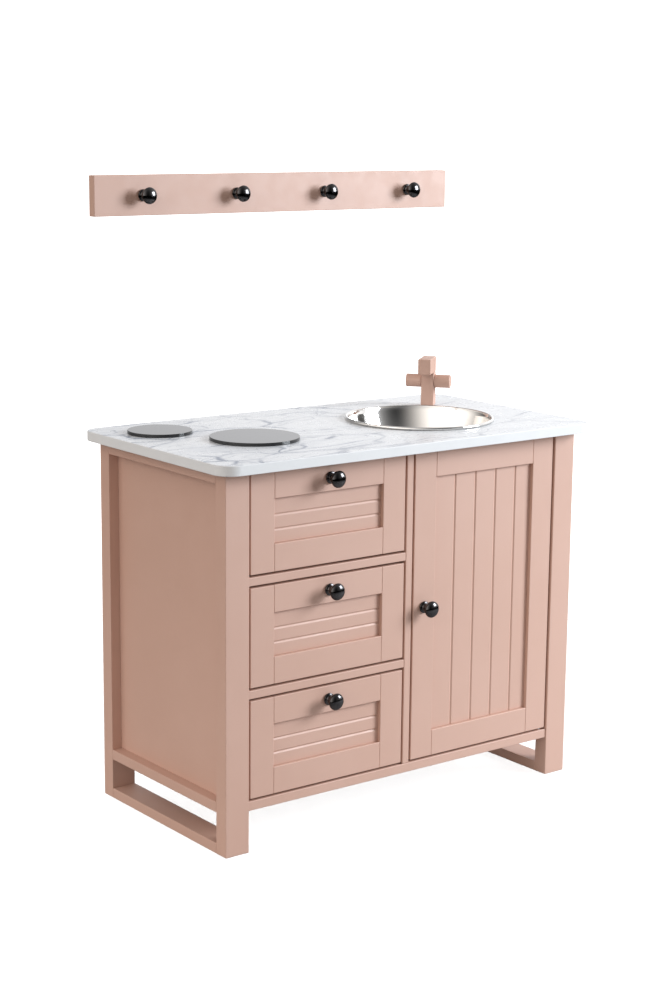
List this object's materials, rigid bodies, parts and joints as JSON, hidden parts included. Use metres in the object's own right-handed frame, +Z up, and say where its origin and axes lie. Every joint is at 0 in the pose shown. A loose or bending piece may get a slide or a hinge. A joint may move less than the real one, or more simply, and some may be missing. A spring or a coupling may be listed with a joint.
{
  "type": "toy kitchen",
  "caption": "Free-standing painted toy kitchen with sliding drawers, a hinged door, a marble-look worktop with a drop-in bowl, hob discs and a tap, and a matching wall rail with knobs.",
  "frame": {"origin": "on the floor under the middle of the worktop", "axes": "+Z up, +X to the right as seen from the front, +Y to the back, towards the wall"},
  "size_m": [0.732, 0.406, 0.9955],
  "materials": {
    "paint": "dusty pink satin paint on wood, edges lightly rounded",
    "worktop": "white marble-look laminate with blue-grey veins, plain white edge",
    "steel": "polished stainless steel",
    "black_nickel": "glossy black nickel",
    "black_acrylic": "glossy black acrylic with a polished edge",
    "birch": "clear lacquered birch plywood",
    "zinc": "zinc-plated steel",
    "catch_plastic": "off-white moulded plastic"
  },
  "bodies": {
    "cabinet": {"left_front_leg": "paint", "left_back_leg": "paint", "right_front_leg": "paint", "right_back_leg": "paint", "left_foot_rail": "paint", "left_mid_rail": "paint", "left_top_rail": "paint", "right_foot_rail": "paint", "right_mid_rail": "paint", "right_top_rail": "paint", "left_side_panel": "paint", "right_side_panel": "paint", "bottom_front_rail": "paint", "cabinet_floor": "paint", "back_panel": "paint", "divider": "paint", "front_stretcher": "paint", "back_stretcher": "paint", "lower_drawer_rail": "paint", "upper_drawer_rail": "paint", "wall_rail": "paint", "lower_left_runner": "birch", "lower_right_runner": "birch", "upper_left_runner": "birch", "upper_right_runner": "birch", "worktop": "worktop", "small_hob_disc": "black_acrylic", "large_hob_disc": "black_acrylic", "magnet_catch": "catch_plastic", "lower_pivot_pin": "zinc", "upper_pivot_pin": "zinc", "rail_knob_1": "black_nickel", "rail_knob_2": "black_nickel", "rail_knob_3": "black_nickel", "rail_knob_4": "black_nickel"},
    "drawer_1": {"drawer_1_frame": "paint", "drawer_1_panel": "paint", "drawer_1_box": "birch", "drawer_1_knob": "black_nickel"},
    "drawer_2": {"drawer_2_frame": "paint", "drawer_2_panel": "paint", "drawer_2_box": "birch", "drawer_2_knob": "black_nickel"},
    "drawer_3": {"drawer_3_frame": "paint", "drawer_3_panel": "paint", "drawer_3_box": "birch", "drawer_3_knob": "black_nickel"},
    "door": {"door_frame": "paint", "door_panel": "paint", "door_knob": "black_nickel", "door_strike_plate": "zinc"},
    "bowl": {"sink_bowl": "steel"},
    "tap": {"tap_post": "paint", "tap_spout": "paint", "tap_bolt": "zinc"},
    "tap_handles": {"tap_left_handle": "paint", "tap_right_handle": "paint", "tap_handle_rod": "zinc"}
  },
  "joints": [
    {"name": "drawer_1_slide", "type": "slide", "parent": "cabinet", "child": "drawer_1", "axis": [0, -1, 0], "range_m": [0, 0.2]},
    {"name": "drawer_2_slide", "type": "slide", "parent": "cabinet", "child": "drawer_2", "axis": [0, -1, 0], "range_m": [0, 0.2]},
    {"name": "drawer_3_slide", "type": "slide", "parent": "cabinet", "child": "drawer_3", "axis": [0, -1, 0], "range_m": [0, 0.2]},
    {"name": "door_hinge", "type": "hinge", "parent": "cabinet", "child": "door", "pos_m": [0.2934, -0.167, 0.3319], "axis": [0, 0, 1], "range_deg": [0, 100]},
    {"name": "bowl_lift", "type": "slide", "parent": "cabinet", "child": "bowl", "axis": [-0.1289, -0.1289, 0.9833], "range_m": [0, 0.12]},
    {"name": "tap_swivel", "type": "hinge", "parent": "cabinet", "child": "tap", "pos_m": [0.2607, 0.09772, 0.6], "axis": [0, 0, 1], "range_deg": [-45, 45]},
    {"name": "handle_turn", "type": "hinge", "parent": "tap", "child": "tap_handles", "pos_m": [0.2607, 0.09772, 0.642], "axis": [0.6428, -0.766, 0], "continuous": true}
  ]
}
